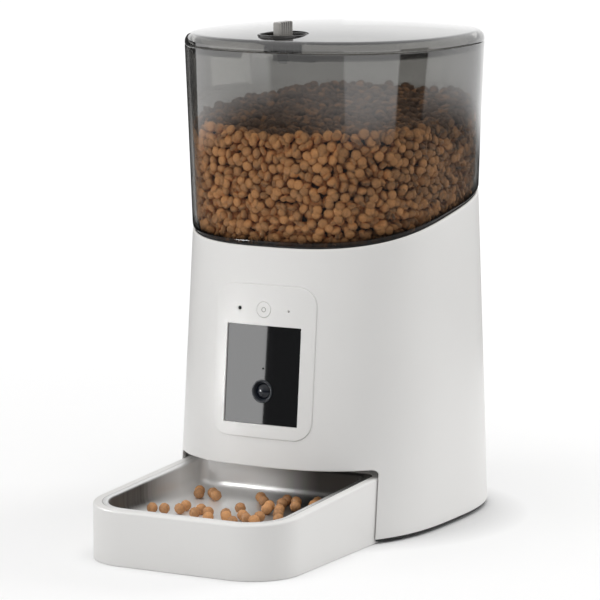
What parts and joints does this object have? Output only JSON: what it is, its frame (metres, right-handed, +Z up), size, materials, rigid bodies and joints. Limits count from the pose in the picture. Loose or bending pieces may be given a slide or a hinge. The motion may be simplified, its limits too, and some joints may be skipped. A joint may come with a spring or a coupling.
{
  "type": "pet feeder with camera",
  "caption": "Automatic pet feeder with a clear food hopper, latched lid, front camera panel, paddle rotor drive and a slide-out tray with a steel bowl.",
  "frame": {"origin": "on the floor, under the middle of the plan's bounding box", "axes": "+Z up, -Y towards the front with the camera and the tray, +X to the right seen from the front"},
  "size_m": [0.192, 0.336, 0.3457],
  "materials": {
    "white_abs": "moulded, satin",
    "black_abs": "moulded, fine texture",
    "smoke_clear": "polished, smoky transparent",
    "black_rubber": "moulded, matt",
    "smoke_silicone": "moulded, smoky clear",
    "grey_silicone": "moulded, soft",
    "inner_plastic": "moulded, matt",
    "acetal": "moulded, smooth",
    "brass": "turned",
    "zinc_steel": "zinc plated",
    "bowl_steel": "deep drawn and brushed",
    "dark_acrylic": "polished, near black",
    "lens_black": "satin black",
    "lens_glass": "coated glass",
    "circuit_board": "solder mask",
    "dark_plastic": "moulded, satin",
    "grip_plastic": "moulded, ribbed, satin grey",
    "can_metal": "stamped"
  },
  "bodies": {
    "feeder_body": {"main_housing": "white_abs", "base_plate": "black_abs", "base_screws": "zinc_steel", "rubber_feet": "black_rubber", "bowl_bay": "white_abs", "hopper": "smoke_clear", "hopper_gasket": "black_rubber", "food_funnel": "inner_plastic", "metering_drum": "inner_plastic", "drum_screws": "zinc_steel", "outlet_baffle": "inner_plastic", "shaft_bush": "brass", "gear_case": "inner_plastic", "case_screws": "zinc_steel", "idler_pin": "zinc_steel", "drive_motor": "zinc_steel", "food_chute": "inner_plastic", "front_panel": "white_abs", "camera_window": "dark_acrylic", "lens_ring": "lens_black", "lens_glass": "lens_glass", "camera_board": "circuit_board", "panel_board": "circuit_board", "button_switch": "dark_plastic", "microphone": "can_metal", "status_light": "dark_plastic", "main_board": "circuit_board", "speaker": "dark_plastic", "power_inlet": "can_metal", "battery_contacts": "zinc_steel"},
    "hopper_lid": {"lid": "smoke_clear", "lid_seal": "smoke_silicone", "latch_cup": "dark_plastic", "latch_housing": "dark_plastic"},
    "latch_knob": {"lid_knob": "grip_plastic", "latch_cam": "dark_plastic", "cam_screw": "zinc_steel"},
    "button": {"feed_button": "white_abs"},
    "food_tray": {"bowl_tray": "white_abs", "steel_bowl": "bowl_steel"},
    "rotor": {"rotor_hub": "inner_plastic", "rotor_vanes": "grey_silicone", "agitator": "inner_plastic", "rotor_shaft": "zinc_steel", "output_gear": "acetal"},
    "idler": {"idler_gear": "acetal"},
    "motor_rotor": {"motor_pinion": "brass", "motor_shaft": "zinc_steel"},
    "door": {"battery_door": "black_abs"}
  },
  "joints": [
    {"name": "lid_lift", "type": "slide", "parent": "feeder_body", "child": "hopper_lid", "axis": [0, 0, 1], "range_m": [0, 0.08]},
    {"name": "knob_twist", "type": "hinge", "parent": "hopper_lid", "child": "latch_knob", "pos_m": [0, -0.02, 0.335], "axis": [0, 0, -1], "range_deg": [0, 90]},
    {"name": "button_press", "type": "slide", "parent": "feeder_body", "child": "button", "axis": [0, 0.9955, -0.0952], "range_m": [0, 0.0012], "stiffness_N_per_m": 1200},
    {"name": "tray_pull", "type": "slide", "parent": "feeder_body", "child": "food_tray", "axis": [0, -1, 0], "range_m": [0, 0.16]},
    {"name": "rotor_spin", "type": "hinge", "parent": "feeder_body", "child": "rotor", "pos_m": [0, 0.063, 0.11803], "axis": [0, 0, 1], "continuous": true},
    {"name": "idler_spin", "type": "hinge", "parent": "feeder_body", "child": "idler", "pos_m": [0.01966, 0.07677, 0.11803], "axis": [0, 0, 1], "continuous": true},
    {"name": "motor_spin", "type": "hinge", "parent": "feeder_body", "child": "motor_rotor", "pos_m": [0.02299, 0.09567, 0.11803], "axis": [0, 0, 1], "continuous": true},
    {"name": "battery_door_swing", "type": "hinge", "parent": "feeder_body", "child": "door", "pos_m": [0, 0.1169, 0.0029], "axis": [1, 0, 0], "range_deg": [0, 85]}
  ],
  "couplings": [
    {"joint": "idler_spin", "follows": "rotor_spin", "ratio": -4},
    {"joint": "motor_spin", "follows": "rotor_spin", "ratio": 12}
  ]
}
